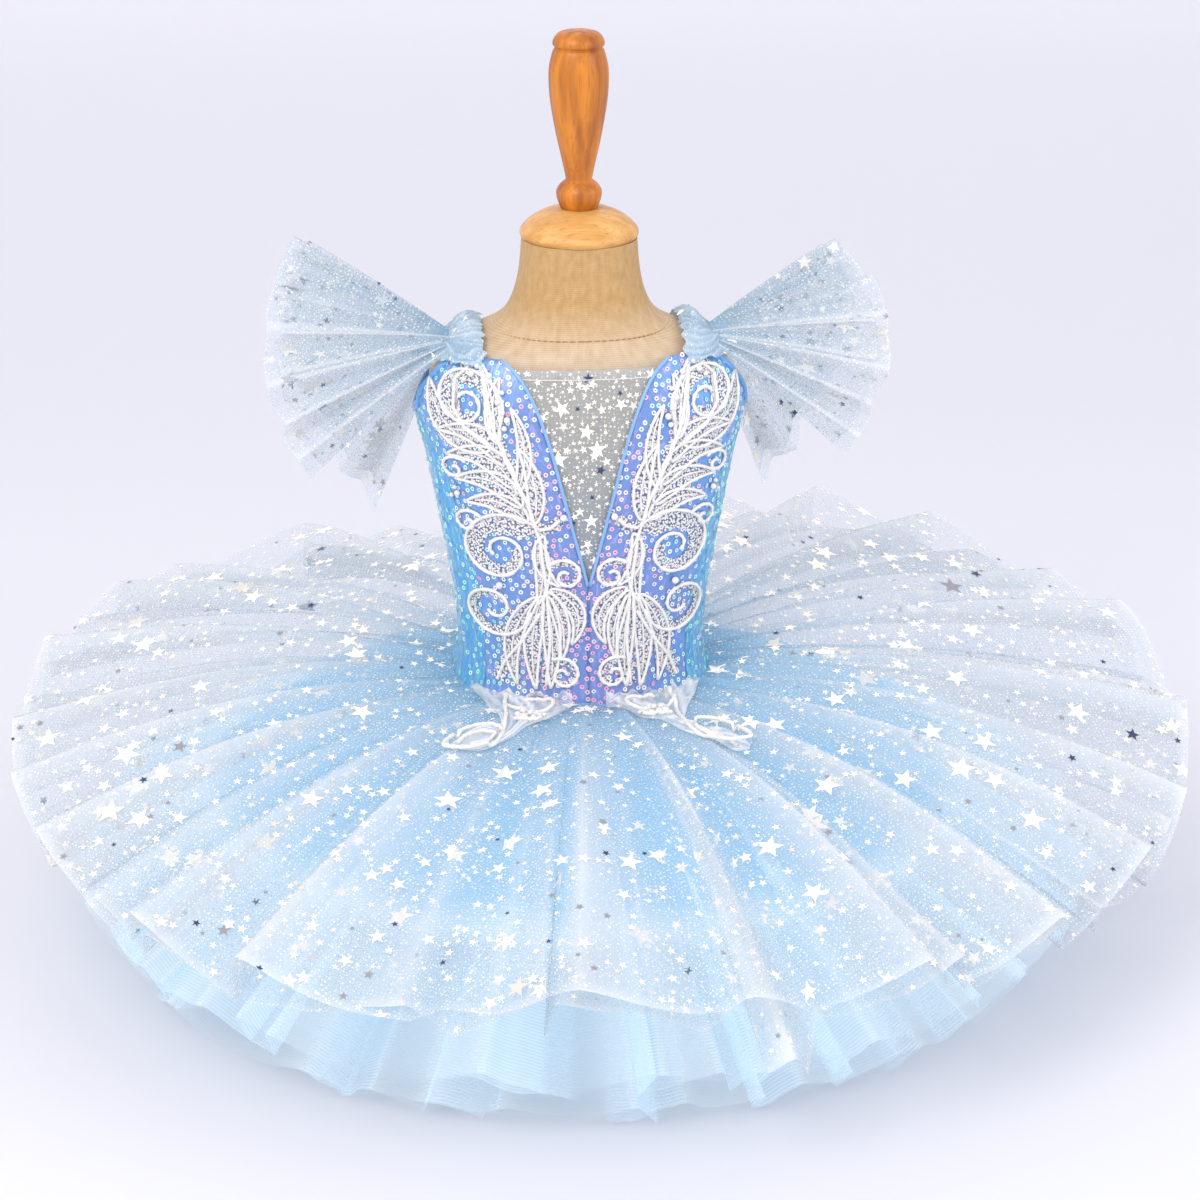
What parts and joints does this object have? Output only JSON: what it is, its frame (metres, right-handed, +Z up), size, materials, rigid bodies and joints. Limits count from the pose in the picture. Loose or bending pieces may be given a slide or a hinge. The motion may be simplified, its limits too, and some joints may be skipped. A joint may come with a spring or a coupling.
{
  "type": "ballet dress on a dress form",
  "caption": "Child's ballet dress with a fitted bodice, flutter sleeves and a full layered tulle skirt, worn on a limbless dress form with a turned handle.",
  "frame": {"origin": "middle of the form's flat base, on the surface that it stands on", "axes": "+Z up along the form's middle, -Y to the dress's front, +X to the right of someone facing the front"},
  "size_m": [0.8757, 0.8537, 0.66],
  "materials": {
    "linen": "undyed plain-weave linen stretched over the form",
    "wood": "turned hardwood, clear satin varnish",
    "sequin_cloth": "stretch cloth set with small iridescent ring sequins",
    "sheer_inset": "fine tulle with foil stars",
    "piping": "narrow satin binding",
    "lace": "corded lace on a fine net",
    "star_tulle": "sheer glitter tulle printed with silver foil stars",
    "plain_tulle": "soft sky-blue tulle"
  },
  "bodies": {
    "root": {"form_body": "linen", "form_cap": "wood", "form_handle": "wood", "bodice_front_left": "sequin_cloth", "bodice_front_right": "sequin_cloth", "bodice_side_left": "sequin_cloth", "bodice_side_right": "sequin_cloth", "bodice_back": "sequin_cloth", "inset": "sheer_inset", "piping_left": "piping", "piping_right": "piping", "lace_left": "lace", "lace_right": "lace", "lace_tail_left": "lace", "lace_tail_right": "lace", "strap_left": "star_tulle", "strap_right": "star_tulle", "sleeve_left": "star_tulle", "sleeve_right": "star_tulle", "skirt_top": "star_tulle", "skirt_mid": "plain_tulle", "skirt_under": "plain_tulle"}
  },
  "joints": []
}
